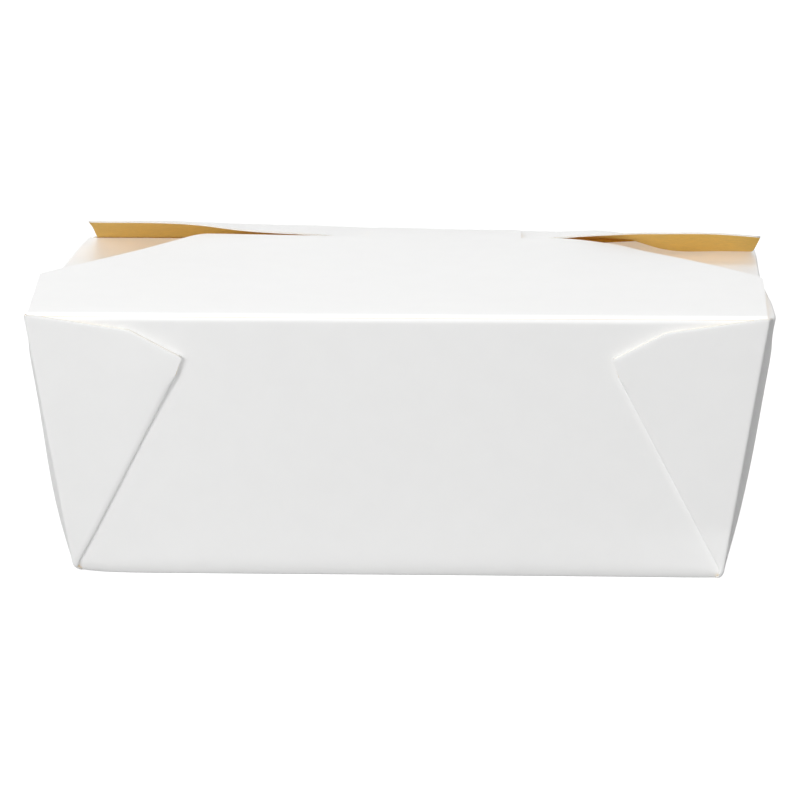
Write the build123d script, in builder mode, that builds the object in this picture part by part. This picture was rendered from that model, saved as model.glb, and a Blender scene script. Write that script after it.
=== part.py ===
from build123d import *
from math import atan2, cos, hypot, sin, sqrt, tan
import os

# A one-piece folded paperboard takeaway box with tapered walls, glued corner gussets and a flap top.
# Millimetres, +Z up. The long side runs along X, the front wall faces -Y, and the origin is the
# middle of the base where it stands.

# Board and walls
board = 0.45
base_length = 152.4
base_width = 120.7
box_height = 63.5
end_flare = 9.55
side_flare = 8.65
corner_loop_top = 0.7
corner_loop_base = 0.2
end_wall_drop = 0.5
base_fold_radius = 0.9
corner_fold_radius = 0.6
crease_radius = 0.7
relief_hole_radius = 0.6
relief_hole_in = 0.5
relief_hole_depth = 2.6

# End walls bow outwards between their creases
end_bow = 3.0
bow_depth = 6.0
bow_depth_shares = (0.0, 0.02, 0.07, 0.22, 0.5, 0.78, 0.93, 0.98, 1.0)
bow_profile_shares = (0.0, 0.6, 1.0, 1.05, 1.05, 1.05, 1.0, 0.6, 0.0)
bow_height_shares = (0.0, 0.06, 0.22, 0.45, 0.7, 0.88, 1.0)
bow_rise_shares = (0.0, 0.7, 1.05, 1.1, 1.05, 0.95, 0.6)

# Corner gussets, each two layers of board folded over the long walls, measured in the wall's own
# plane in from the rim's corner and down from the rim, and at the foot from the base's corner
gusset_corner_drop = 0.3
gusset_bend_in = 23.65
gusset_bend_drop = 3.6
gusset_tip_in = 35.95
gusset_tip_drop = 10.0
gusset_nose_in = 34.05
gusset_nose_drop = 15.0
gusset_foot_in = 0.9
gusset_foot_up = 2.8

# End flaps, which fold in first
end_flap_length = 60.0
end_flap_root_inset = 4.5
end_flap_tip_inset = 17.0
end_flap_corner_radius = 9.0

# Back flap, which folds in second and springs up at both ends
back_flap_length = 47.0
back_flap_root_inset = 1.4
back_flap_left_inset = 4.5
back_flap_right_overhang = 1.7
back_flap_corner_radius = 1.0
ridge_rise = 6.2
back_column_shares = (-1.03, -0.72, -0.5, -0.3, -0.12, 0.1, 0.33, 0.48, 0.6, 0.75, 1.03)
back_row_shares = (0.0, 0.25, 0.5, 0.75, 1.0)
back_height_shares = (
    (0.0, 0.35, 0.73, 1.09, 1.42),
    (0.0, 0.53, 0.98, 1.31, 1.45),
    (0.0, 0.58, 0.95, 1.16, 1.23),
    (0.0, 0.56, 0.92, 1.06, 1.08),
    (0.0, 0.47, 0.78, 0.91, 0.92),
    (0.0, 0.39, 0.69, 0.88, 0.90),
    (0.0, 0.37, 0.66, 0.87, 0.92),
    (0.0, 0.35, 0.65, 0.89, 0.98),
    (0.0, 0.19, 0.42, 0.77, 1.11),
    (0.0, 0.08, 0.16, 0.63, 1.18),
    (0.0, 0.06, 0.08, 0.53, 1.05),
)

# Front flap, which closes last, with a tongue that lies over the back flap
lid_gap = 0.5
hinge_gap = 0.25
front_flap_root_in = 0.9
front_flap_side = 44.0
front_flap_left_out = 1.9
front_flap_right_out = 0.5
main_edge_in = 33.0
side_corner_radius = 2.0
tongue_left = 10.5
tongue_right = 28.0
tongue_length = 22.0
tongue_corner_radius = 7.0
tongue_root_radius = 1.2
front_column_shares = (-1.03, -0.62, -0.3, -0.12, 0.1, 0.33, 0.48, 0.62, 1.03)
front_row_shares = (0.0, 0.17, 0.34, 0.67, 0.84, 1.0, 1.07, 1.16, 1.27)
front_height_shares = (
    (0.0, 0.17, 0.34, 0.68, 0.87, 1.06, 1.14, 1.06, 0.86),
    (0.0, 0.17, 0.34, 0.68, 0.88, 1.12, 1.16, 1.06, 0.86),
    (0.0, 0.17, 0.34, 0.68, 0.86, 1.06, 1.14, 1.06, 0.86),
    (0.0, 0.17, 0.34, 0.68, 0.86, 1.06, 1.13, 1.10, 0.97),
    (0.0, 0.17, 0.34, 0.68, 0.85, 1.03, 1.12, 1.06, 0.88),
    (0.0, 0.17, 0.34, 0.68, 0.86, 1.05, 1.12, 1.04, 0.84),
    (0.0, 0.17, 0.34, 0.67, 0.82, 0.97, 1.02, 1.00, 0.80),
    (0.0, 0.17, 0.34, 0.64, 0.72, 0.74, 0.74, 0.72, 0.62),
    (0.0, 0.17, 0.33, 0.61, 0.65, 0.65, 0.65, 0.62, 0.54),
)

half_base_length = base_length / 2
half_base_width = base_width / 2
half_length = half_base_length + end_flare
half_width = half_base_width + side_flare
gusset_stack = 2 * board
wall_top = box_height - end_wall_drop
wall_lean = atan2(side_flare, box_height)
wall_slope = hypot(box_height, side_flare)
crease_y = half_width - crease_radius * (tan(wall_lean) + 1 / cos(wall_lean))
crease_z = box_height - crease_radius
main_edge = 2 * crease_y - back_flap_length - lid_gap
flap_root_out = sqrt((crease_radius + hinge_gap) ** 2 - (crease_radius - board) ** 2)
clear_of = 2 * box_height
quarter_turn = 90


def half_sizes(height, length_margin, width_margin):
    """Half the length and half the width of the tapered box at a height, with margins added."""
    share = height / box_height
    loop = corner_loop_base + (corner_loop_top - corner_loop_base) * share
    length = half_base_length + end_flare * share + loop + length_margin
    width = half_base_width + side_flare * share + width_margin
    return length, width


def bowed_end(side, length_margin, width_margin, low, high):
    """The curved face of one end wall, from control points that follow the tapered box."""
    net = []
    for height_share, rise in zip(bow_height_shares, bow_rise_shares):
        height = low + (high - low) * height_share
        length, width = half_sizes(height, length_margin, width_margin)
        row = []
        for depth_share, profile in zip(bow_depth_shares, bow_profile_shares):
            out = length + end_bow * rise * profile
            row.append((side * out, width * (2 * depth_share - 1), height))
        net.append(row)
    return Face.make_bezier_surface(net)


def bowed_box(length_margin, width_margin, low, base_radius, corner_radius):
    """A solid tapered box with bowed ends, from a height up to the top of the end walls."""
    foot_length, foot_width = half_sizes(low, length_margin, width_margin)
    rim_length, rim_width = half_sizes(wall_top, length_margin, width_margin)
    with BuildPart() as block:
        with BuildSketch(Plane.XZ):
            with BuildLine():
                Polyline(
                    (-foot_length, low),
                    (foot_length, low),
                    (rim_length, wall_top),
                    (-rim_length, wall_top),
                    close=True,
                )
            make_face()
        extrude(amount=clear_of, both=True)
        with BuildSketch(Plane.YZ):
            with BuildLine():
                Polyline(
                    (-foot_width, low),
                    (foot_width, low),
                    (rim_width, wall_top),
                    (-rim_width, wall_top),
                    close=True,
                )
            make_face()
        extrude(amount=clear_of, both=True, mode=Mode.INTERSECT)
        fillet(block.faces().sort_by(Axis.Z)[0].edges(), radius=base_radius)
        rising = block.edges().filter_by(lambda e: e.bounding_box().size.Z > box_height / 2)
        fillet(rising, radius=corner_radius)
        for side in (-1, 1):
            bow = bowed_end(side, length_margin, width_margin - corner_radius, low + base_radius, wall_top)
            extrude(bow, amount=bow_depth, dir=(-side, 0, 0))
    return block.part


def curved_sheet(column_shares, row_shares, height_shares, reach, direction):
    """A smooth sheet of board from a crease at the far side of y = direction, one board thick."""
    net = []
    for column, profile in zip(column_shares, height_shares):
        line = []
        for row, height in zip(row_shares, profile):
            y = direction * (reach * row - crease_y)
            line.append((half_length * column, y, box_height + ridge_rise * height))
        net.append(line)
    with BuildPart() as sheet:
        extrude(Face.make_surface_from_array_of_points(net), amount=board, dir=(0, 0, -1))
    return sheet.part


# Outer shape out to the face of the gussets, and the room inside
outer = bowed_box(0, gusset_stack, 0, base_fold_radius, corner_fold_radius)
inner = bowed_box(-board, -board, board, base_fold_radius - board, corner_fold_radius - board)

# The two end flaps, trimmed to the bowed tops of the end walls
with BuildPart() as end_flaps:
    add(outer)
    with BuildSketch(Plane.XY.offset(wall_top - board)):
        for side in (-1, 1):
            root = side * clear_of
            tip = side * (half_length - end_flap_length)
            root_half = half_width - end_flap_root_inset
            tip_half = half_width - end_flap_tip_inset
            root_line = half_length * side
            with BuildLine():
                Polyline(
                    (root, root_half),
                    (root_line, root_half),
                    (tip, tip_half),
                    (tip, -tip_half),
                    (root_line, -root_half),
                    (root, -root_half),
                    close=True,
                )
            make_face()
        tips = [v for v in vertices() if abs(v.X) < half_length - board]
        fillet(tips, radius=end_flap_corner_radius)
    extrude(amount=board, mode=Mode.INTERSECT)

# The back flap, cut from its sprung sheet
with BuildPart() as back_flap:
    add(curved_sheet(back_column_shares, back_row_shares, back_height_shares, back_flap_length, -1))
    free_y = crease_y - back_flap_length
    with BuildSketch():
        with BuildLine():
            Polyline(
                (back_flap_root_inset - half_length, crease_y),
                (back_flap_left_inset - half_length, free_y),
                (half_length + back_flap_right_overhang, free_y),
                (half_length - back_flap_root_inset, crease_y),
                close=True,
            )
        make_face()
        corners = vertices().sort_by(Axis.Y)[:2]
        fillet(corners, radius=back_flap_corner_radius)
    extrude(amount=clear_of, mode=Mode.INTERSECT)

# The parts of each long wall that the gussets leave free, as a solid to cut away
with BuildPart() as wall_clearing:
    for facing in (-1, 1):
        foot = (facing * half_base_width, 0)
        crest_out = facing * (half_base_width + clear_of * tan(wall_lean))
        with BuildSketch(Plane.YZ):
            with BuildLine():
                Polyline(
                    foot,
                    (crest_out, clear_of),
                    (facing * clear_of, clear_of),
                    (facing * clear_of, -clear_of),
                    (0, -clear_of),
                    (0, 0),
                    close=True,
                )
            make_face()
            heel = [v for v in vertices() if abs(v.Z) < board and abs(v.Y) > board]
            fillet(heel, radius=base_fold_radius)
        extrude(amount=clear_of, both=True)
    for facing in (-1, 1):
        wall_plane = Plane(
            origin=(0, facing * half_base_width, 0),
            x_dir=(1, 0, 0),
            z_dir=(0, facing * cos(wall_lean), -sin(wall_lean)),
        )
        rise = -facing
        with BuildSketch(wall_plane):
            for side in (-1, 1):
                shoulder = rise * (wall_slope - gusset_corner_drop)
                foot_out = side * (half_base_length - gusset_foot_in)
                with BuildLine():
                    Polyline(
                        (side * clear_of, shoulder),
                        (side * half_length, shoulder),
                        (side * (half_length - gusset_bend_in), rise * (wall_slope - gusset_bend_drop)),
                        (side * (half_length - gusset_tip_in), rise * (wall_slope - gusset_tip_drop)),
                        (side * (half_length - gusset_nose_in), rise * (wall_slope - gusset_nose_drop)),
                        (foot_out, rise * gusset_foot_up),
                        (foot_out, -rise * clear_of),
                        (side * clear_of, -rise * clear_of),
                        close=True,
                    )
                make_face()
        extrude(amount=clear_of, both=True, mode=Mode.SUBTRACT)

# The box folded from one sheet
with BuildPart() as folded_box:
    add(outer)
    add(wall_clearing.part, mode=Mode.SUBTRACT)
    add(inner, mode=Mode.SUBTRACT)
    add(end_flaps.part)
    for facing in (-1, 1):
        with Locations(Location((0, facing * crease_y, crease_z), (0, quarter_turn, 0))):
            Cylinder(radius=crease_radius, height=2 * (half_length - front_flap_root_in))
    add(back_flap.part)
    hole_x = half_length - relief_hole_in
    with Locations(
        (hole_x, -crease_y, wall_top),
        (-hole_x, -crease_y, wall_top),
        (hole_x, crease_y, wall_top),
        (-hole_x, crease_y, wall_top),
    ):
        Cylinder(radius=relief_hole_radius, height=relief_hole_depth, mode=Mode.SUBTRACT)

# The front flap, on its own crease line, with the tongue in one piece
with BuildPart() as front_flap:
    add(curved_sheet(front_column_shares, front_row_shares, front_height_shares, main_edge, 1))
    root_y = flap_root_out - crease_y
    edge_y = main_edge - crease_y
    side_y = front_flap_side - crease_y
    tongue_y = edge_y + tongue_length
    left_x = -half_length - front_flap_left_out
    right_x = half_length + front_flap_right_out
    edge_x = half_length - main_edge_in
    root_x = half_length - front_flap_root_in
    with BuildSketch():
        with BuildLine():
            Polyline(
                (-root_x, root_y),
                (left_x, side_y),
                (-edge_x, edge_y),
                (-tongue_left, edge_y),
                (-tongue_left, tongue_y),
                (tongue_right, tongue_y),
                (tongue_right, edge_y),
                (edge_x, edge_y),
                (right_x, side_y),
                (root_x, root_y),
                close=True,
            )
        make_face()
        fillet(vertices().filter_by(lambda v: v.Y > tongue_y - board), radius=tongue_corner_radius)
        sharp = vertices().filter_by(lambda v: abs(v.X) < tongue_right + board)
        fillet(sharp.filter_by(lambda v: abs(v.Y - edge_y) < board), radius=tongue_root_radius)
        sharp = vertices().filter_by(lambda v: abs(v.X) > edge_x - board)
        fillet(sharp.filter_by(lambda v: v.Y > side_y - board), radius=side_corner_radius)
    extrude(amount=clear_of, mode=Mode.INTERSECT)

os.makedirs("parts", exist_ok=True)
folded_box.part.label = "folded_box"
front_flap.part.label = "front_flap"
export_step(folded_box.part, "parts/folded_box.step")
export_step(front_flap.part, "parts/front_flap.step")
print("box", len(folded_box.solids()), folded_box.part.is_valid, folded_box.part.bounding_box())
print("flap", len(front_flap.solids()), front_flap.part.is_valid, front_flap.part.bounding_box())
print("box volume", folded_box.part.volume, "flap volume", front_flap.part.volume)
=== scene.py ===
from math import atan, cos, exp, hypot, log, pi, radians, sin, sqrt

import bpy
import bmesh
import numpy as np
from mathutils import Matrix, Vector


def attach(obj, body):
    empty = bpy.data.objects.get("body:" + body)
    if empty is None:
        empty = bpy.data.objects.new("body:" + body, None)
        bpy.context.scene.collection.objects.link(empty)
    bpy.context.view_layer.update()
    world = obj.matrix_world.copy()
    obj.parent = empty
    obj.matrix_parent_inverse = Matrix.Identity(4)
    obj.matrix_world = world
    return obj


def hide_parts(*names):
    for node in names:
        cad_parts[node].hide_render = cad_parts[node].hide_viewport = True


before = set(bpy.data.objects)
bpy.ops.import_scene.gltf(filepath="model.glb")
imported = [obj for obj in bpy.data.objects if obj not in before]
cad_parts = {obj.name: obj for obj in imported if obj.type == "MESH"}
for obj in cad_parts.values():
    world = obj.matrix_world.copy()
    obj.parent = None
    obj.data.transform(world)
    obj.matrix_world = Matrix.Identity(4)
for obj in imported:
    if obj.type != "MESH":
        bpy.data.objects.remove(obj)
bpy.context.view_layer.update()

bl_info = {
    "name": "Folded takeaway box",
    "version": (1, 0, 0),
    "blender": (4, 5, 0),
    "location": "3D View > Sidebar > Takeaway box",
    "description": "A folded paperboard takeaway box with gussets, bowed ends and a flap top",
    "category": "Add Mesh",
}

# Lengths are in millimetres, but for the lamps and the camera, which are in metres. The front wall
# faces -Y and the box stands on z = 0.
MM = 0.001
SAME = 1e-6

# Heights of the two closing flaps above the rim, as shares of the ridge's rise. One row of numbers for
# each place along the box, and one number for each place out from the crease.
BACK_COLUMNS = (
    -90.0, -79.0, -65.0, -52.0, -43.0, -26.0, -10.3, 8.6, 28.3, 41.2, 51.5, 57.0, 64.3, 76.0, 90.0,
)
BACK_ROWS = (0.0, 11.75, 23.5, 35.25, 47.0)
BACK_HEIGHT_SHARES = (
    (0.0, 0.38, 0.80, 1.22, 1.64),
    (0.0, 0.47, 0.92, 1.29, 1.61),
    (0.0, 0.60, 1.06, 1.38, 1.60),
    (0.0, 0.66, 1.07, 1.31, 1.49),
    (0.0, 0.66, 1.03, 1.21, 1.31),
    (0.0, 0.64, 0.97, 1.09, 1.14),
    (0.0, 0.58, 0.87, 0.94, 0.94),
    (0.0, 0.54, 0.80, 0.86, 0.88),
    (0.0, 0.50, 0.755, 0.86, 0.91),
    (0.0, 0.48, 0.79, 0.99, 1.10),
    (0.0, 0.42, 0.75, 1.02, 1.20),
    (0.0, 0.22, 0.48, 0.86, 1.24),
    (0.0, 0.06, 0.12, 0.62, 1.25),
    (0.0, 0.02, 0.04, 0.58, 1.25),
    (0.0, 0.02, 0.03, 0.46, 1.09),
)
FRONT_COLUMNS = (-88.3, -53.2, -25.7, -10.3, 8.6, 28.3, 41.2, 53.2, 88.3)
FRONT_ROWS = (0.0, 4.0, 15.1, 30.2, 59.6, 74.7, 88.9, 95.1, 103.1, 110.9)
FRONT_HEIGHT_SHARES = (
    (0.0, 0.07, 0.18, 0.35, 0.69, 0.88, 1.09, 1.16, 1.06, 0.90),
    (0.0, 0.07, 0.18, 0.35, 0.69, 0.89, 1.13, 1.17, 1.06, 0.90),
    (0.0, 0.07, 0.18, 0.34, 0.68, 0.86, 1.07, 1.10, 1.06, 0.90),
    (0.0, 0.07, 0.18, 0.34, 0.68, 0.86, 1.05, 1.09, 1.06, 0.95),
    (0.0, 0.07, 0.18, 0.34, 0.68, 0.85, 1.01, 1.06, 1.03, 0.89),
    (0.0, 0.07, 0.18, 0.34, 0.68, 0.85, 1.00, 1.04, 0.99, 0.86),
    (0.0, 0.07, 0.18, 0.34, 0.67, 0.82, 0.97, 1.00, 0.92, 0.78),
    (0.0, 0.07, 0.18, 0.34, 0.64, 0.72, 0.74, 0.74, 0.72, 0.62),
    (0.0, 0.07, 0.18, 0.33, 0.61, 0.65, 0.65, 0.65, 0.62, 0.54),
)

# Distance of the rolled front crease from the hinge's axis, in directions round it in degrees
BEAD_TURNS = (62, 80, 94, 112, 135, 160, 180, 200, 215, 230, 238, 247)
BEAD_REACH = (0.15, 0.20, 0.25, 0.225, 0.205, 0.213, 0.248, 0.338, 0.482, 0.768, 1.00, 1.32)
BEAD_START, BEAD_END = radians(247), radians(62)

# How far each end wall bulges up its height, as shares of its bow
BOW_HEIGHTS = (0, 3, 8, 18, 30, 43, 55, 60, 63.5)
BOW_LEFT_SHARES = (0, 0.43, 0.83, 1.12, 1.03, 0.82, 0.71, 0.58, 0.48)
BOW_RIGHT_SHARES = (0, 0.28, 0.60, 0.89, 1.00, 0.98, 0.93, 0.80, 0.68)

# Lamps: name, place, target, size, power, whether it casts shadows and whether it shows in gloss. The
# fill casts none, so that the kraft under the sprung back flap is as bright as the open board, and the
# back lamp none, so that no shadow falls to the front.
LAMPS = (
    ("lamp_key", (-0.85, -1.50, 0.56), (0, 0, 0.03), 0.8, 15.2, True, True),
    ("lamp_top", (-0.15, -0.35, 1.55), (0, 0, 0.05), 1.1, 4.0, True, True),
    ("lamp_fill", (-0.15, -0.35, 1.56), (0, 0, 0.05), 1.1, 12.5, False, True),
    ("lamp_back", (0.0, 1.70, 0.06), (0, 0, 0.05), 0.8, 9.0, False, False),
    ("lamp_low", (0.26, -1.84, 0.18), (0, 0, 0.05), 0.4, 5.5, True, True),
)
CAMERA_PLACE = (0.0372, -1.0533, 0.2136)
CAMERA_DOWN, CAMERA_TURN = radians(9.79), radians(2.12)
CAMERA_LENS, CAMERA_SENSOR, CAMERA_CLIP = 193.5, 36.0, 0.01
FLOOR_HALF = 4.0
FLOOR_GLOW, FLOOR_LIT = 0.80, 0.42
SKY_SOFT, SKY_SEEN = 0.20, 1.0
WHITE = (1.0, 1.0, 1.0)


def length_property(label, words, millimetres):
    return bpy.props.FloatProperty(
        name=label, description=words, default=millimetres * MM, precision=5, unit="LENGTH"
    )


def colour_property(label, words, value):
    return bpy.props.FloatVectorProperty(
        name=label, description=words, default=value, size=3, min=0.0, max=1.0, subtype="COLOR"
    )


class TakeawaySizes(bpy.types.PropertyGroup):
    board: length_property("Board", "Thickness of the folded board", 0.45)
    base_length: length_property("Base length", "Length of the base between its creases", 152.4)
    base_width: length_property("Base width", "Width of the base between its creases", 120.7)
    box_height: length_property("Height", "Height of the long walls", 63.5)
    end_flare: length_property("End flare", "How far each end wall leans out", 9.55)
    side_flare: length_property("Side flare", "How far each long wall leans out", 8.65)
    end_bow: length_property("End bow", "How far the end walls bulge between their creases", 3.25)
    ridge_rise: length_property("Ridge rise", "Height of the closed flaps above the rim", 6.2)
    crease_radius: length_property("Crease radius", "Outer radius of the rolled creases", 0.7)
    back_flap_length: length_property("Back flap", "Length of the back flap from its crease", 47.0)
    front_flap_length: length_property("Front flap", "Length of the front flap from its crease", 88.9)
    tongue_length: length_property("Tongue", "Length of the tongue beyond the front flap", 22.0)
    end_flap_length: length_property("End flap", "Length of each end flap from its crease", 60.0)


class TakeawayColours(bpy.types.PropertyGroup):
    coated: colour_property("Coated outside", "White clay-coated face", (0.90, 0.90, 0.895))
    kraft: colour_property("Kraft inside", "Brown uncoated face", (0.66, 0.385, 0.045))
    cut_edge: colour_property("Cut edge", "Raw edge of the board", (0.74, 0.725, 0.69))
    floor: colour_property("Floor", "Studio floor and backdrop", (0.31, 0.31, 0.31))


class Maths:
    """A socket that can be used in arithmetic. Each operation adds a Math node."""

    def __init__(self, finish, socket):
        self.finish = finish
        self.socket = socket

    def combine(self, operation, first, second):
        return self.finish.node("ShaderNodeMath", {"operation": operation}, {0: first, 1: second})

    def __add__(self, other):
        return self.combine("ADD", self, other)

    def __radd__(self, other):
        return self.combine("ADD", other, self)

    def __mul__(self, other):
        return self.combine("MULTIPLY", self, other)

    def __rmul__(self, other):
        return self.combine("MULTIPLY", other, self)

    def larger(self, other):
        return self.combine("MAXIMUM", self, other)

    def over(self, low, high):
        """A smooth step from 0 to 1 between two values."""
        settings = {"interpolation_type": "SMOOTHSTEP"}
        sockets = {"Value": self, "From Min": low, "From Max": high, "To Min": 0.0, "To Max": 1.0}
        return self.finish.node("ShaderNodeMapRange", settings, sockets)


class Finish:
    """The nodes of a material or of the world."""

    def __init__(self, owner, output="ShaderNodeOutputMaterial"):
        owner.use_nodes = True
        self.owner = owner
        self.tree = owner.node_tree
        self.tree.nodes.clear()
        self.out = self.tree.nodes.new(output)

    def node(self, kind, settings, sockets, output=0):
        """One node: its type, its settings, then the values or links of its sockets."""
        made = self.tree.nodes.new(kind)
        for key, value in settings.items():
            setattr(made, key, value)
        for key, value in sockets.items():
            self.feed(made.inputs[key], value)
        return Maths(self, made.outputs[output])

    def feed(self, target, value):
        if isinstance(value, Maths):
            self.tree.links.new(value.socket, target)
        elif target.type == "RGBA":
            target.default_value = (*value, 1.0)
        else:
            target.default_value = value

    def blend(self, factor, first, second):
        """Two colours through a Mix node, whose colour sockets are its seventh and eighth."""
        settings = {"data_type": "RGBA"}
        return self.node("ShaderNodeMix", settings, {0: factor, 6: first, 7: second}, output=2)

    def place(self):
        """Object coordinates in metres."""
        return self.node("ShaderNodeTexCoord", {}, {}, output="Object")

    def noise(self, place, scale, detail, rough):
        sockets = {"Vector": place, "Scale": scale, "Detail": detail, "Roughness": rough}
        return self.node("ShaderNodeTexNoise", {"noise_dimensions": "3D"}, sockets)

    def stretch(self, place, scale):
        """Coordinates stretched by a factor along each axis."""
        return self.node("ShaderNodeVectorMath", {"operation": "MULTIPLY"}, {0: place, 1: scale})

    def bump(self, height, distance, strength):
        sockets = {"Height": height, "Distance": distance, "Strength": strength}
        return self.node("ShaderNodeBump", {}, sockets)

    def seen(self):
        """1 for what the camera sees straight or in a reflection, otherwise 0."""
        straight = self.node("ShaderNodeLightPath", {}, {}, output="Is Camera Ray")
        mirrored = self.node("ShaderNodeLightPath", {}, {}, output="Is Glossy Ray")
        return straight.larger(mirrored)

    def surface(self, sockets):
        return self.end(self.node("ShaderNodeBsdfPrincipled", {}, sockets))

    def end(self, shader):
        self.tree.links.new(shader.socket, self.out.inputs["Surface"])
        return self.owner


def coated_finish(colour):
    """The white clay-coated outside: faint mottle, a fine tooth and a soft sheen."""
    f = Finish(bpy.data.materials.new("coated_board"))
    place = f.place()
    mottle = f.noise(place, 160.0, 4.0, 0.55)
    tooth = f.noise(place, 2600.0, 4.0, 0.6)
    cloud = f.noise(place, 26.0, 2.0, 0.55)
    shade = mottle.over(0.3, 0.7) * 0.6 + cloud.over(0.3, 0.7) * 0.4
    darker = tuple(c * 0.985 for c in colour)
    height = tooth * 0.7 + mottle * 0.8 + cloud * 2.0
    return f.surface({
        "Base Color": f.blend(shade, darker, colour),
        "Roughness": 0.46 + 0.10 * tooth,
        "IOR": 1.45,
        "Normal": f.bump(height, 0.00003, 0.5),
    })


def kraft_finish(colour):
    """The brown uncoated inside: long fibres, flecks and a dry, matt tooth."""
    f = Finish(bpy.data.materials.new("kraft_board"))
    place = f.place()
    fibres = f.noise(f.stretch(place, (500.0, 2400.0, 2400.0)), 1.0, 5.0, 0.65)
    specks = f.noise(place, 900.0, 2.0, 0.5)
    cloud = f.noise(place, 70.0, 3.0, 0.55)
    dark = tuple(c * 0.80 for c in colour)
    pale = tuple(min(1.0, c * 1.10) for c in colour)
    fleck = tuple(c * 0.55 for c in colour)
    paint = f.blend(fibres.over(0.35, 0.68), dark, pale)
    paint = f.blend(0.25 * cloud, paint, colour)
    paint = f.blend(0.55 * specks.over(0.66, 0.78), paint, fleck)
    return f.surface({
        "Base Color": paint,
        "Roughness": 0.72 + 0.16 * fibres,
        "IOR": 1.4,
        "Normal": f.bump(fibres + specks * 0.4, 0.00005, 0.6),
        "Sheen Weight": 0.6,
        "Sheen Roughness": 0.5,
        "Sheen Tint": (1.0, 0.72, 0.28),
    })


def cut_edge_finish(colour):
    """The raw cut edge: plies of fibre with a brownish core."""
    f = Finish(bpy.data.materials.new("cut_edge"))
    place = f.place()
    plies = f.noise(place, 3200.0, 3.0, 0.7)
    along = f.noise(place, 120.0, 2.0, 0.55)
    brown = tuple(c * m for c, m in zip(colour, (0.80, 0.70, 0.50)))
    return f.surface({
        "Base Color": f.blend(plies.over(0.45, 0.8) * (0.1 + 0.5 * along), colour, brown),
        "Roughness": 0.75 + 0.15 * plies,
        "IOR": 1.4,
        "Normal": f.bump(plies, 0.00008, 0.7),
    })


def spread(start, end, count):
    """Evenly spaced numbers from start to end, both included."""
    return [start + (end - start) * i / count for i in range(count + 1)]


def joined(*runs):
    """Runs of numbers put end to end, with the shared ones kept once."""
    out = []
    for run in runs:
        for value in run:
            if not out or abs(value - out[-1]) > SAME:
                out.append(value)
    return out


def smooth(value, low, high):
    """A smooth step from 0 at low to 1 at high."""
    share = min(1.0, max(0.0, (value - low) / (high - low)))
    return share * share * (3 - 2 * share)


def rounded(left, radius):
    """How far an outline has drawn in, with left still to go to its end, for a corner of a radius."""
    if left >= radius:
        return 0.0
    return radius - sqrt(max(0.0, radius**2 - (radius - left) ** 2))


def quarter(start, end, count):
    """Numbers from start to end that crowd at the end as points on a quarter circle do."""
    return [end - (end - start) * (1 - sin(a)) for a in spread(0, pi / 2, count)]


class Bend:
    """A smooth curve through given points, level beyond its ends."""

    def __init__(self, places, values):
        self.x = np.array(places, float)
        self.y = np.array(values, float)
        n = len(self.x)
        h = np.diff(self.x)
        a = np.zeros((n, n))
        b = np.zeros(n)
        a[0, 0] = a[-1, -1] = 1.0
        for i in range(1, n - 1):
            a[i, i - 1] = h[i - 1]
            a[i, i] = 2 * (h[i - 1] + h[i])
            a[i, i + 1] = h[i]
            b[i] = 6 * ((self.y[i + 1] - self.y[i]) / h[i] - (self.y[i] - self.y[i - 1]) / h[i - 1])
        self.m = np.linalg.solve(a, b)
        self.h = h

    def __call__(self, at):
        at = min(max(at, self.x[0]), self.x[-1])
        i = min(int(np.searchsorted(self.x, at, side="right")) - 1, len(self.h) - 1)
        h = self.h[i]
        left = (self.x[i + 1] - at) / h
        right = (at - self.x[i]) / h
        bent = (left**3 - left) * self.m[i] + (right**3 - right) * self.m[i + 1]
        return float(left * self.y[i] + right * self.y[i + 1] + bent * h * h / 6)


class Swell:
    """A smooth surface of heights over a table of places."""

    def __init__(self, columns, rows, heights):
        self.columns = columns
        self.profiles = [Bend(rows, line) for line in heights]
        self.cached = {}

    def __call__(self, along, out):
        key = round(out, 5)
        if key not in self.cached:
            self.cached[key] = Bend(self.columns, [profile(out) for profile in self.profiles])
        return self.cached[key](along)


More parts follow.
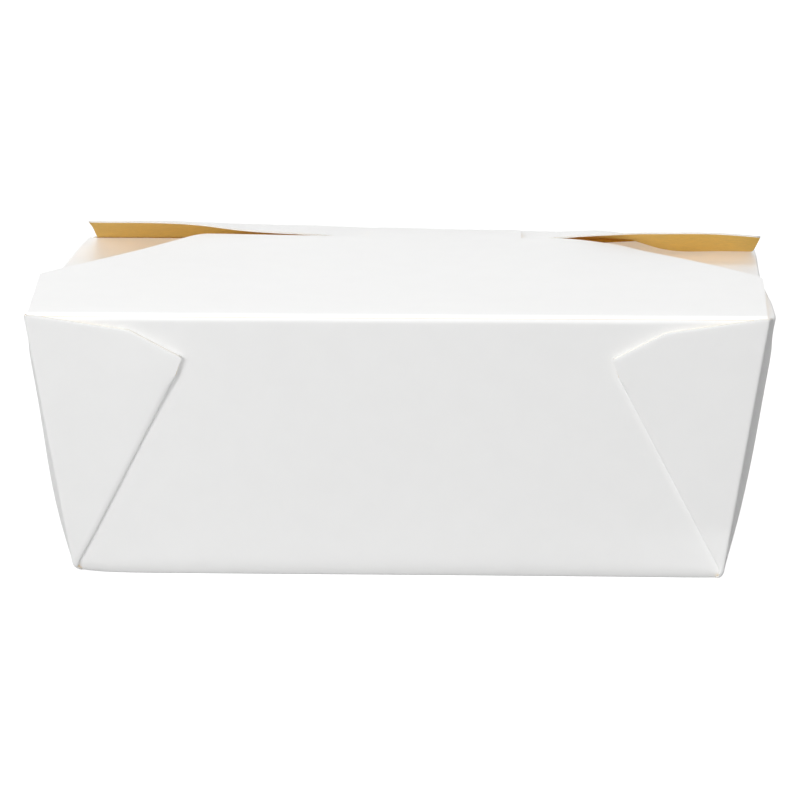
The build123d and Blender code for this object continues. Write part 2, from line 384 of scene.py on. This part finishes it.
class Folding:
    """The box's shape, worked out from the sizes."""

    # The rounded base edge, lower at the corners
    foot_tall, foot_deep = 4.0, 1.1
    foot_lower_at_corner, foot_corner_reach = 1.8, 9.0
    # Where the base corners have been pushed up and the front right one forward
    crushed_height = 12.0
    pinch_rise, pinch_reach = 1.1, 4.5
    bulge_out, bulge_rise, bulge_reach = 1.3, 0.35, 14.0
    # How far the board loops out at the corner creases, and how far the end walls stop below the rim
    corner_loop_base, corner_loop_gain = 0.2, 0.5
    end_wall_drop = 0.5
    # The end walls' bow, which gives way to a smaller one at the rim
    bow_reach, bow_fades_from, bow_fades_to = 8.0, 52, 63
    left_rim_bow = 0.55
    right_rim_bow, right_rim_reach = 0.5, 3.0
    right_rim_swell, right_rim_level, right_rim_fade = 1.3, 30, 38.0
    clearance = 0.01

    def __init__(self, sizes):
        for name in TakeawaySizes.__annotations__:
            setattr(self, name, getattr(sizes, name) / MM)
        self.half_length = self.base_length / 2
        self.half_width = self.base_width / 2
        self.lean = self.side_flare / self.box_height
        self.tilt = atan(self.lean)
        self.slope = hypot(1.0, self.lean)
        self.axis_y = self.half_width + self.side_flare - self.crease_radius * (self.lean + self.slope)
        self.axis_z = self.box_height - self.crease_radius
        self.wall_top = self.box_height - self.end_wall_drop
        self.stack = 2 * self.board - self.clearance
        self.back = Swell(BACK_COLUMNS, BACK_ROWS, BACK_HEIGHT_SHARES)
        self.front = Swell(FRONT_COLUMNS, FRONT_ROWS, FRONT_HEIGHT_SHARES)
        self.reach = Bend(BEAD_TURNS, BEAD_REACH)
        self.bows = {-1: Bend(BOW_HEIGHTS, BOW_LEFT_SHARES), 1: Bend(BOW_HEIGHTS, BOW_RIGHT_SHARES)}

    def foot_rows(self):
        """Heights of the rows over the rounded base edge, closest at the base."""
        return [self.foot_tall * (1 - cos(a)) for a in spread(0, pi / 2, 12)]

    def foot_inset(self, z, corner):
        """How far the rounded base edge lies inside the wall's line at a height."""
        tall = self.foot_tall - self.foot_lower_at_corner * exp(-corner / self.foot_corner_reach)
        if z >= tall:
            return 0.0
        return self.foot_deep * (1 - sqrt(max(0.0, 1 - (1 - z / tall) ** 2)))

    def crushed(self, point):
        """A point moved as the handled board is: base corners rise and one bulges forward."""
        x, y, z = point
        away = hypot(self.half_length - abs(x), self.half_width - abs(y))
        low = max(0.0, 1 - z / self.crushed_height)
        pinch = exp(-away / self.pinch_reach) * low
        if x > 0 and y < 0:
            bulge = exp(-away / self.bulge_reach) * low
            return (x, y - self.bulge_out * bulge, z + self.bulge_rise * pinch)
        return (x, y, z + self.pinch_rise * pinch)

    def bead(self, angle):
        """Distance of the rolled front crease from the hinge's axis, in a direction round it."""
        return self.reach(angle * 180 / pi)

    def long_wall(self, z):
        """Half the width at the long walls' outer face."""
        return self.half_width + self.lean * z

    def corner_x(self, z):
        """Half the length at the corner creases."""
        share = z / self.box_height
        loop = self.corner_loop_base + self.corner_loop_gain * share
        return self.half_length + self.end_flare * share + loop

    def bow(self, z, inward, side):
        """How far an end wall bulges at a height and a distance in from its nearest corner."""
        eased = 1 - exp(-inward / self.bow_reach)
        middle = self.end_bow * self.bows[side](z) * eased
        top = smooth(z, self.bow_fades_from, self.bow_fades_to)
        rim = self.left_rim_bow * eased
        if side > 0:
            beyond = max(0.0, inward - self.right_rim_level)
            swell = self.right_rim_bow + self.right_rim_swell * exp(-beyond / self.right_rim_fade)
            rim = (1 - exp(-inward / self.right_rim_reach)) * swell
        return middle * (1 - top) + rim * top


class Sheet:
    """One piece of board: patches of its outer face, given the board's thickness at the end."""

    def __init__(self, name, moved=tuple):
        self.name = name
        self.moved = moved
        self.points = []
        self.faces = []
        self.found = {}

    def point(self, p):
        """The number of a point, the same for patches that share it."""
        key = (round(p[0], 3), round(p[1], 3), round(p[2], 3))
        if key not in self.found:
            self.found[key] = len(self.points)
            self.points.append(self.moved(p))
        return self.found[key]

    def patch(self, place, us, vs):
        """A grid of faces over a patch, with place(u, v) giving its points."""
        grid = [[self.point(place(u, v)) for u in us] for v in vs]
        for j in range(len(vs) - 1):
            for i in range(len(us) - 1):
                ring = (grid[j][i], grid[j][i + 1], grid[j + 1][i + 1], grid[j + 1][i])
                corners = [c for n, c in enumerate(ring) if c != ring[n - 1]]
                if len(corners) >= 3 and len(set(corners)) == len(corners):
                    self.faces.append(corners)

    def outer_face(self, outward):
        """The patches as one surface that faces outward."""
        shell = bmesh.new()
        corners = [shell.verts.new(p) for p in self.points]
        for face in self.faces:
            if shell.faces.get([corners[i] for i in face]) is None:
                shell.faces.new([corners[i] for i in face])
        loose = [v for v in shell.verts if not v.link_faces]
        bmesh.ops.delete(shell, geom=loose, context="VERTS")
        bmesh.ops.recalc_face_normals(shell, faces=shell.faces)
        facing = sum(f.normal.dot(outward(f.calc_center_median())) * f.calc_area() for f in shell.faces)
        if facing < 0:
            bmesh.ops.reverse_faces(shell, faces=shell.faces)
        shell.normal_update()
        shell.verts.index_update()
        return shell

    def build(self, thickness, outward, slant=None):
        """The mesh object: outer face, inner face and cut edges, each with its finish."""
        shell = self.outer_face(outward)
        count = len(shell.verts)
        points = [v.co.copy() for v in shell.verts]
        points += [v.co - v.normal * thickness for v in shell.verts]
        if slant:
            for v in shell.verts:
                if v.is_boundary:
                    points[v.index + count].z += slant(v.co, v.normal)
        faces, kinds = [], []
        for face in shell.faces:
            ring = [v.index for v in face.verts]
            faces += [ring, [i + count for i in reversed(ring)]]
            kinds += [0, 1]
        for edge in shell.edges:
            if len(edge.link_loops) == 1:
                start = edge.link_loops[0].vert.index
                end = edge.other_vert(edge.link_loops[0].vert).index
                faces.append([end, start, start + count, end + count])
                kinds.append(2)
        shell.free()
        mesh = bpy.data.meshes.new(self.name)
        mesh.from_pydata([p * MM for p in points], [], faces)
        for finish in board_finishes():
            mesh.materials.append(finish)
        mesh.polygons.foreach_set("material_index", kinds)
        mesh.polygons.foreach_set("use_smooth", [True] * len(faces))
        mesh.update()
        meeting = {}
        for polygon, kind in zip(mesh.polygons, kinds):
            for key in polygon.edge_keys:
                meeting.setdefault(key, set()).add(kind)
        for edge in mesh.edges:
            edge.use_edge_sharp = len(meeting[tuple(sorted(edge.vertices))]) > 1
        made = bpy.data.objects.new(self.name, mesh)
        bpy.context.scene.collection.objects.link(made)
        return made


def board_finishes():
    """The three finishes of the board, made once."""
    colours = bpy.context.scene.takeaway_colours
    kinds = (
        ("coated_board", coated_finish, colours.coated),
        ("kraft_board", kraft_finish, colours.kraft),
        ("cut_edge", cut_edge_finish, colours.cut_edge),
    )
    return [bpy.data.materials.get(name) or make(tuple(colour)) for name, make, colour in kinds]


def from_middle(point):
    """The way out from the middle of the box."""
    middle_height = 34.0
    return (Vector(point) - Vector((0.0, 0.0, middle_height))).normalized()


def upward(point):
    return Vector((0.0, 0.0, 1.0))


def settle(made, body, node):
    """The piece takes its place: what it rides on and what it stands for."""
    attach(made, body)
    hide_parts(node)


class TAKEAWAY_OT_long_wrap(bpy.types.Operator):
    """Front wall, base, back wall and back flap, folded from the middle of the sheet"""

    bl_idname = "takeaway.long_wrap"
    bl_label = "Walls, base and back flap"

    def execute(self, context):
        LongWrap(Folding(context.scene.takeaway_sizes)).build("long_wrap")
        return {"FINISHED"}


class LongWrap:
    """The front wall, the base, the back wall and the back flap."""

    gap = 0.02
    # The long walls lie inside the corner creases and narrow just under the rim
    corner_gap = 0.25
    crease_half = 85.5
    narrows_from, narrows_to = 2.2, 0.4
    front_rim_half, front_rim_turned = 86.0, radians(205)
    wall_rows_low, wall_rows_high = 8, 58
    # The back flap is notched at the left of its crease and widens towards its end
    flap_notch, flap_left_flare = 1.3, 0.062
    flap_step, flap_step_length, flap_right_flare = 0.2, 4, 0.050

    def __init__(self, box):
        self.box = box
        self.turn = pi + box.tilt
        self.low_rim = box.axis_z + box.bead(BEAD_START) * sin(BEAD_START)
        self.high_rim = box.axis_z + box.crease_radius * sin(self.turn)
        self.back_half = self.half_at(self.high_rim)

    def half_at(self, z):
        """Half the length of the long walls at a height: they narrow just under the crease."""
        side = self.box.corner_x(z) - self.corner_gap
        if side <= self.crease_half:
            return side
        top = self.box.wall_top
        narrowed = smooth(z, top - self.narrows_from, top - self.narrows_to)
        return side - (side - self.crease_half) * narrowed

    def wall(self, facing):
        def place(u, z):
            half = self.half_at(z)
            corner = half - abs(u) * half
            y = self.box.long_wall(z) - self.gap - self.box.foot_inset(z, corner)
            return (u * (half - self.box.foot_inset(z, 0.0)), facing * y, z)
        return place

    def base(self, u, v):
        box = self.box
        half = self.half_at(0.0) - box.foot_inset(0.0, 0.0)
        corner = self.half_at(0.0) * (1 - abs(u))
        return (u * half, v * (box.long_wall(0.0) - self.gap - box.foot_inset(0.0, corner)), 0.0)

    def front_rim(self, u, angle):
        """The rolled crease that the front flap turns on."""
        box = self.box
        if angle > BEAD_START - radians(0.1):
            return self.wall(-1)(u, self.low_rim)
        reach = box.bead(angle)
        low = self.half_at(self.low_rim)
        half = low + (self.front_rim_half - low) * smooth(angle, BEAD_START, self.front_rim_turned)
        return (u * half, -box.axis_y + reach * cos(angle), box.axis_z + reach * sin(angle))

    def back_rim(self, u, angle):
        """The rolled crease of the back flap, notched at the left where the flap starts."""
        box = self.box
        if angle < radians(90) + SAME:
            return self.flap(u, 0.0)
        notched = smooth(self.turn - angle, 0, self.turn - radians(90))
        x = u * self.back_half + self.flap_notch * (1 - u) / 2 * notched
        y = box.axis_y - box.crease_radius * cos(angle)
        return (x, y, box.axis_z + box.crease_radius * sin(angle))

    def flap(self, u, v):
        """The back flap, whose ends spring up."""
        box = self.box
        out = v * box.back_flap_length
        left = self.flap_notch - self.back_half + self.flap_left_flare * out
        step = self.flap_step * smooth(out, 0, self.flap_step_length)
        right = self.back_half + step + self.flap_right_flare * out
        x = (left + right) / 2 + (right - left) / 2 * u
        return (x, box.axis_y - out, box.box_height + box.ridge_rise * box.back(x, out))

    def build(self, name):
        box = self.box
        sheet = Sheet(name, box.crushed)
        columns = spread(-1, 1, 88)
        low, high = self.wall_rows_low, self.wall_rows_high
        rows = joined(box.foot_rows(), spread(box.foot_tall, low, 4), spread(low, high, 22))
        sheet.patch(self.wall(-1), columns, joined(rows, spread(high, self.low_rim, 5)))
        sheet.patch(self.wall(1), columns, joined(rows, spread(high, self.high_rim, 5)))
        sheet.patch(self.base, columns, spread(-1, 1, 48))
        sheet.patch(self.front_rim, columns, spread(BEAD_START, BEAD_END, 30))
        sheet.patch(self.back_rim, columns, spread(self.turn, radians(90), 8))
        sheet.patch(self.flap, columns, spread(0, 1, 40))
        made = sheet.build(box.board - self.gap, from_middle)
        settle(made, "box", "folded_box")


class TAKEAWAY_OT_end_wraps(bpy.types.Operator):
    """The two bowed end walls, each with its end flap and the gussets folded round its corners"""

    bl_idname = "takeaway.end_wraps"
    bl_label = "End walls and gussets"

    def execute(self, context):
        box = Folding(context.scene.takeaway_sizes)
        for side, name in ((-1, "end_wrap_left"), (1, "end_wrap_right")):
            EndWrap(box, side).build(name)
        return {"FINISHED"}


class EndWrap:
    """One end wall with the gussets at its two corners and the end flap along its rim."""

    gap = 0.03
    # The corner creases' rounding
    corner_turn, corner_swell = 0.75, 0.04
    left_corner_out, right_corner_out = 0.4, 0.1
    # Heights of the gusset's nose, tip, bend and peak, and half the box's length at its edge there
    nose, tip, bend, peak = 48.65, 53.2, 59.7, 63.3
    edge_points = ((0.0, 75.9), (2.8, 75.3), (nose, 51.7), (tip, 50.1), (bend, 62.3), (peak, 86.0))
    fold_width, fold_eases, fold_foot, fold_least = 1.35, 3.0, 1.1, 0.5
    # How the gusset's tip springs off the wall
    spring_x, spring_z, spring_flat, spring_reach = 50.5, 53.0, 0.8, 20
    spring_loose, spring_tight, spring_starts_share = 0.62, 0.15, 0.3
    # The gusset's cut edge: pressed in, with the inner ply a little proud and both plies' edges sloped
    edge_crush, edge_crush_reach = 0.10, 0.8
    inner_proud, proud_from, proud_to = 0.24, 60, 80
    slant_front, slant_back = 0.13, -0.12
    slant_least_y, slant_steepest = 66.0, 0.6
    back_drop = 0.4
    nose_rows, middle_rows_share = 4.0, 0.7
    # The lip under the base, the rolled rim and the end flap
    base_lip, base_lip_rise = 1.2, 0.004
    rim_roll = 0.8
    flap_root_in, flap_short = 1.4, 1.2
    flap_narrowing, flap_narrows_share = 14.0, 0.42
    flap_corner_radius, flap_rounded_share = 9.0, 0.15

    def __init__(self, box, side):
        self.box = box
        self.side = side
        self.ply = box.board - self.gap
        self.root = box.half_width + box.side_flare - self.flap_root_in
        self.rim = box.wall_top - self.rim_roll
        self.corner_out = self.left_corner_out if side < 0 else self.right_corner_out

    def corner(self, z):
        """Half the length and half the width at the corner crease at a height."""
        return self.box.corner_x(z) + self.corner_out, self.box.long_wall(z) + self.box.stack

    def edge(self, z):
        """Half the length at the gusset's diagonal fold and, above its nose, at its cut edge."""
        for (low, first), (high, second) in zip(self.edge_points, self.edge_points[1:]):
            if z <= high:
                return first + (second - first) * (z - low) / (high - low)
        return self.edge_points[-1][1]

    def top(self, x):
        """Height of the gusset's cut edge at a place along the wall."""
        (low, tip), (middle, bend), (high, peak) = self.edge_points[3:]
        if x < bend:
            return low + (middle - low) * max(0.0, x - tip) / (bend - tip)
        return middle + (high - middle) * (x - bend) / (peak - bend)

    def ends(self, z):
        """Where the flat of the gusset starts and ends at a height, and where its fold reaches."""
        x, y = self.corner(z)
        start = x - self.corner_turn - self.box.foot_inset(z, 0.0)
        fold = min(self.edge(z), start - self.fold_least)
        width = self.fold_width * smooth(self.nose - z, 0.0, self.fold_eases)
        return start, min(fold + width, start), fold

    def wall(self, t, z):
        """The end wall's outer face, from one corner crease to the other."""
        x, y = self.corner(z)
        half = y - self.corner_turn
        inward = half * (1 - abs(t))
        out = self.box.bow(z, inward, self.side) - self.box.foot_inset(z, inward)
        return (self.side * (x + out), t * (half - self.box.foot_inset(z, 0.0)), z)

    def round_corner(self, facing):
        def place(share, z):
            x, y = self.corner(z)
            inset = self.box.foot_inset(z, 0.0)
            near, turned = (1 - share) ** 2, share**2
            middle = 1 - near - turned
            px = x - inset + self.corner_swell * middle - self.corner_turn * turned
            py = y - inset - self.corner_turn * near
            return (self.side * px, facing * py, z)
        return place

    def lift(self, facing, x, z):
        """How far the gusset's tip springs off the wall."""
        away = hypot(x - self.spring_x, (z - self.spring_z) * self.spring_flat)
        spring = self.spring_loose if self.side * facing > 0 else self.spring_tight
        return spring * (1 - smooth(away, 0, self.spring_reach))

    def outer_ply(self, facing):
        def place(share, z):
            start, end, fold = self.ends(z)
            px = start + (end - start) * share
            lifted = self.lift(facing, px, z) * smooth(share, 0, self.spring_starts_share)
            out = lifted - self.box.foot_inset(z, 0.0)
            if z > self.nose:
                near = max(0.0, 1 - (self.top(px) - z) / self.edge_crush_reach)
                out -= self.edge_crush * near**2
            return (self.side * px, facing * (self.corner(z)[1] + out), z)
        return place

    def fold(self, facing):
        """The rolled fold between the gusset's two plies."""
        def place(angle, z):
            start, end, fold = self.ends(z)
            out = self.lift(facing, end, z) - self.box.foot_inset(z, 0.0) - self.ply * (1 - cos(angle))
            px = end - (end - fold) * sin(angle)
            return (self.side * px, facing * (self.corner(z)[1] + out), z)
        return place

    def inner_ply(self, facing):
        def place(share, z):
            start, end, fold = self.ends(z)
            px = end + (start - end) * share
            out = self.lift(facing, px, z) - self.box.foot_inset(z, 0.0) - 2 * self.ply
            fades = 1 - smooth(px, self.proud_from, self.proud_to)
            proud = self.inner_proud * smooth(z, self.nose, self.tip) * fades
            return (self.side * px, facing * (self.corner(z)[1] + out), z + proud)
        return place

    def under(self, t, v):
        """The lip that turns in under the base."""
        x, y = self.corner(0.0)
        inset = self.box.foot_inset(0.0, 0.0)
        px = x - inset - self.base_lip * v
        return (self.side * px, t * (y - self.corner_turn - inset), self.base_lip_rise * v)

    def rolled_rim(self, t, angle):
        """The crease between the end wall and its flap."""
        x, y, z = self.wall(t, self.rim)
        return (x - self.side * self.rim_roll * (1 - cos(angle)), y, z + self.rim_roll * sin(angle))

    def flap(self, t, v):
        """The end flap, from its crease to its rounded end."""
        length = self.box.end_flap_length
        x, y, z = self.rolled_rim(t, pi / 2)
        out = v * length
        narrowed = max(0.0, v - self.flap_narrows_share) / (1 - self.flap_narrows_share)
        half = self.root * (1 - self.flap_narrowing / self.root * narrowed)
        half -= rounded(length - out, self.flap_corner_radius)
        return (x - self.side * out * (1 - self.flap_short / length), y * half / self.root, z)

    def slant(self, point, normal):
        """How far the gusset's cut edges slope: both plies show their edges to the front."""
        edge = point.z >= self.nose and abs(point.y) >= self.slant_least_y
        if not edge or abs(normal.z) > self.slant_steepest:
            return 0.0
        return self.slant_front if normal.y * point.y > 0 else self.slant_back

    def build(self, name):
        box = self.box
        sheet = Sheet(name, box.crushed)
        below_nose = self.nose - self.nose_rows
        rows = joined(
            box.foot_rows(), spread(box.foot_tall, below_nose, 26), spread(below_nose, self.nose, 6),
            spread(self.nose, self.tip, 8), spread(self.tip, self.bend, 12),
        )
        share = self.root / (self.corner(self.rim)[1] - self.corner_turn)
        outer = spread(share, 1, 5)
        mirrored = [-t for t in reversed(outer)]
        inner = self.middle_rows_share
        middle = joined(spread(-share, -inner, 14), spread(-inner, inner, 26), spread(inner, share, 14))
        across = joined(mirrored, middle, outer)
        sheet.patch(self.wall, across, joined(rows, spread(self.bend, self.rim, 6)))
        for facing in (-1, 1):
            rim_rows = spread(self.rim, box.wall_top - (self.back_drop if facing > 0 else 0.0), 3)
            all_rows = joined(rows, spread(self.bend, self.rim, 6), rim_rows)
            fold_rows = [z for z in rows if self.fold_foot <= z <= self.nose + SAME]
            inner_rows = [z for z in all_rows if z >= self.fold_foot]
            sheet.patch(self.wall, outer if facing > 0 else mirrored, rim_rows)
            sheet.patch(self.round_corner(facing), spread(0, 1, 5), all_rows)
            sheet.patch(self.outer_ply(facing), spread(0, 1, 30), all_rows)
            sheet.patch(self.fold(facing), spread(0, pi, 10), fold_rows)
            sheet.patch(self.inner_ply(facing), spread(0, 1, 20), inner_rows)
        sheet.patch(self.under, across, (0.0, 1.0))
        sheet.patch(self.rolled_rim, middle, spread(0, pi / 2, 6))
        straight = 1 - self.flap_rounded_share
        sheet.patch(self.flap, middle, joined(spread(0, straight, 24), quarter(straight, 1, 12)))
        settle(sheet.build(self.ply, from_middle, self.slant), "box", "folded_box")


class TAKEAWAY_OT_front_flap(bpy.types.Operator):
    """The front flap with its tongue, hinged on the front crease"""

    bl_idname = "takeaway.front_flap"
    bl_label = "Front flap and tongue"

    def execute(self, context):
        FrontFlap(Folding(context.scene.takeaway_sizes)).build("front_flap_board")
        return {"FINISHED"}


class FrontFlap:
    """The flap that closes last: widest at its sides' corners, then tapered to its tongue."""

    gap = 0.02
    # Half the flap's length at its crease and at its widest, left and right, and where it is widest
    sides = {-1: (86.0, 88.25), 1: (85.8, 86.7)}
    side_out = 43.6
    side_softness = 0.45
    tip_half, tip_radius = 52.75, 2.5
    tongue_left, tongue_right, tongue_radius = -10.5, 28.0, 7.0
    root_start, root_tucked, root_end = radians(138), radians(126), radians(98)
    root_above, root_tuck = 0.03, 0.08
    root_roll, root_roll_length, root_roll_power = 0.392, 1.08, 2.3
    # Where the rows across the flap change their spacing: at the root, the side corners and the end
    first_row, root_rows_end, near_rows_end = 0.15, 1.2, 5
    corner_rows_start, corner_rows_end, end_rows = 40, 47, 4

    def __init__(self, box):
        self.box = box
        self.reach = box.front_flap_length
        self.inner = spread(self.tongue_left, self.tongue_right, 20)

    def edge_x(self, out, side):
        """The plan outline of one side at a distance out from the crease."""
        root, wide = self.sides[side]
        flare = root + (wide - root) * out / self.side_out
        taper = (wide - self.tip_half) / (self.reach - self.side_out)
        fall = wide - (out - self.side_out) * taper
        soft = self.side_softness
        x = -soft * log(exp(-flare / soft) + exp(-fall / soft))
        return side * (x - rounded(self.reach - out, self.tip_radius))

    def across(self, out):
        left, right = self.edge_x(out, -1), self.edge_x(out, 1)
        return joined(spread(left, self.tongue_left, 30), self.inner, spread(self.tongue_right, right, 26))

    def height(self, x, out):
        box = self.box
        rolled = self.root_roll * max(0.0, 1 - out / self.root_roll_length) ** self.root_roll_power
        return box.box_height + box.ridge_rise * box.front(x, out) - rolled

    def root(self, i, angle):
        """The strip that turns into the rolled crease."""
        box = self.box
        tucked = smooth(angle, self.root_tucked, self.root_start)
        reach = box.bead(angle) + self.root_above - self.root_tuck * tucked
        x = self.across(0.0)[i]
        return (x, -box.axis_y + reach * cos(angle), box.axis_z + reach * sin(angle))

    def plane(self, i, out):
        if out <= 0:
            return self.root(i, self.root_end)
        x = self.across(out)[i]
        return (x, out - self.box.axis_y, self.height(x, out))

    def tongue(self, x, v):
        """The tongue, with rounded corners."""
        length = self.box.tongue_length
        out = self.reach + v * length
        middle = (self.tongue_left + self.tongue_right) / 2
        half = (self.tongue_right - self.tongue_left) / 2
        px = middle + (x - middle) * (half - rounded(length * (1 - v), self.tongue_radius)) / half
        return (px, out - self.box.axis_y, self.height(px, out))

    def build(self, name):
        sheet = Sheet(name)
        index = list(range(len(self.across(0.0))))
        rounded_from = self.reach - self.end_rows
        steps = joined(
            (0.0,),
            spread(self.first_row, self.root_rows_end, 7),
            spread(self.root_rows_end, self.near_rows_end, 6),
            spread(self.near_rows_end, self.corner_rows_start, 16),
            spread(self.corner_rows_start, self.corner_rows_end, 14),
            spread(self.corner_rows_end, rounded_from, 24),
            quarter(rounded_from, self.reach, 10),
        )
        bend = 1 - self.tongue_radius / self.box.tongue_length
        sheet.patch(self.root, index, spread(self.root_start, self.root_end, 9))
        sheet.patch(self.plane, index, steps)
        sheet.patch(self.tongue, self.inner, joined(spread(0, bend, 14), quarter(bend, 1, 10)))
        settle(sheet.build(self.box.board - self.gap, upward), "flap", "front_flap")


class TAKEAWAY_OT_studio(bpy.types.Operator):
    """Floor, backdrop, soft lamps and the camera"""

    bl_idname = "takeaway.studio"
    bl_label = "Studio"

    def execute(self, context):
        scene = context.scene
        scene.view_settings.view_transform = "Standard"
        self.floor(tuple(scene.takeaway_colours.floor))
        self.world(scene)
        for lamp in LAMPS:
            self.lamp(*lamp)
        camera = bpy.data.objects.new("camera", bpy.data.cameras.new("camera"))
        scene.collection.objects.link(camera)
        camera.location = CAMERA_PLACE
        camera.rotation_euler = (radians(90) - CAMERA_DOWN, 0.0, CAMERA_TURN)
        camera.data.lens = CAMERA_LENS
        camera.data.sensor_width = CAMERA_SENSOR
        camera.data.clip_start = CAMERA_CLIP
        scene.camera = camera
        return {"FINISHED"}

    def floor(self, colour):
        """A matt floor that lights the box plainly and is seen as white, with the box's shadow."""
        f = Finish(bpy.data.materials.new("studio_floor"))
        grain = f.noise(f.place(), 300.0, 3.0, 0.55)
        paint = f.blend(grain, tuple(c * 0.99 for c in colour), colour)
        matt = f.node("ShaderNodeBsdfDiffuse", {}, {"Color": paint})
        glow = f.node("ShaderNodeEmission", {}, {"Color": WHITE, "Strength": FLOOR_GLOW})
        lit = f.node("ShaderNodeBsdfDiffuse", {}, {"Color": (FLOOR_LIT, FLOOR_LIT, FLOOR_LIT)})
        white = f.node("ShaderNodeAddShader", {}, {0: glow, 1: lit})
        finish = f.end(f.node("ShaderNodeMixShader", {}, {0: f.seen(), 1: matt, 2: white}))
        mesh = bpy.data.meshes.new("studio_floor")
        grid = bmesh.new()
        bmesh.ops.create_grid(grid, x_segments=8, y_segments=8, size=FLOOR_HALF)
        grid.to_mesh(mesh)
        grid.free()
        mesh.materials.append(finish)
        made = bpy.data.objects.new("studio_floor", mesh)
        bpy.context.scene.collection.objects.link(made)

    def world(self, scene):
        """A soft white light all round, seen as plain white."""
        scene.world = bpy.data.worlds.new("studio_world")
        f = Finish(scene.world, "ShaderNodeOutputWorld")
        soft = f.node("ShaderNodeBackground", {}, {"Color": WHITE, "Strength": SKY_SOFT})
        white = f.node("ShaderNodeBackground", {}, {"Color": WHITE, "Strength": SKY_SEEN})
        f.end(f.node("ShaderNodeMixShader", {}, {0: f.seen(), 1: soft, 2: white}))

    def lamp(self, name, place, target, size, power, shadow, glossy):
        data = bpy.data.lights.new(name, "AREA")
        data.shape = "SQUARE"
        data.size = size
        data.energy = power
        data.use_shadow = shadow
        lamp = bpy.data.objects.new(name, data)
        lamp.location = place
        aim = Vector(target) - Vector(place)
        lamp.rotation_euler = aim.to_track_quat("-Z", "Y").to_euler()
        lamp.visible_glossy = glossy
        bpy.context.scene.collection.objects.link(lamp)


class TAKEAWAY_PT_panel(bpy.types.Panel):
    """Buttons that fold each part of the box, and the sizes and colours that they use"""

    bl_idname = "TAKEAWAY_PT_panel"
    bl_label = "Takeaway box"
    bl_space_type = "VIEW_3D"
    bl_region_type = "UI"
    bl_category = "Takeaway box"

    def draw(self, context):
        for operator in OPERATORS:
            self.layout.operator(operator.bl_idname)
        for group in (context.scene.takeaway_sizes, context.scene.takeaway_colours):
            for name in type(group).__annotations__:
                self.layout.prop(group, name)


OPERATORS = (TAKEAWAY_OT_studio, TAKEAWAY_OT_long_wrap, TAKEAWAY_OT_end_wraps, TAKEAWAY_OT_front_flap)
CLASSES = (TakeawaySizes, TakeawayColours, *OPERATORS, TAKEAWAY_PT_panel)


def register():
    for kind in CLASSES:
        bpy.utils.register_class(kind)
    bpy.types.Scene.takeaway_sizes = bpy.props.PointerProperty(type=TakeawaySizes)
    bpy.types.Scene.takeaway_colours = bpy.props.PointerProperty(type=TakeawayColours)


def unregister():
    del bpy.types.Scene.takeaway_colours
    del bpy.types.Scene.takeaway_sizes
    for kind in reversed(CLASSES):
        bpy.utils.unregister_class(kind)


def main():
    register()
    bpy.ops.takeaway.studio()
    bpy.ops.takeaway.long_wrap()
    bpy.ops.takeaway.end_wraps()
    bpy.ops.takeaway.front_flap()
    bpy.context.view_layer.update()


if __name__ == "__main__":
    main()
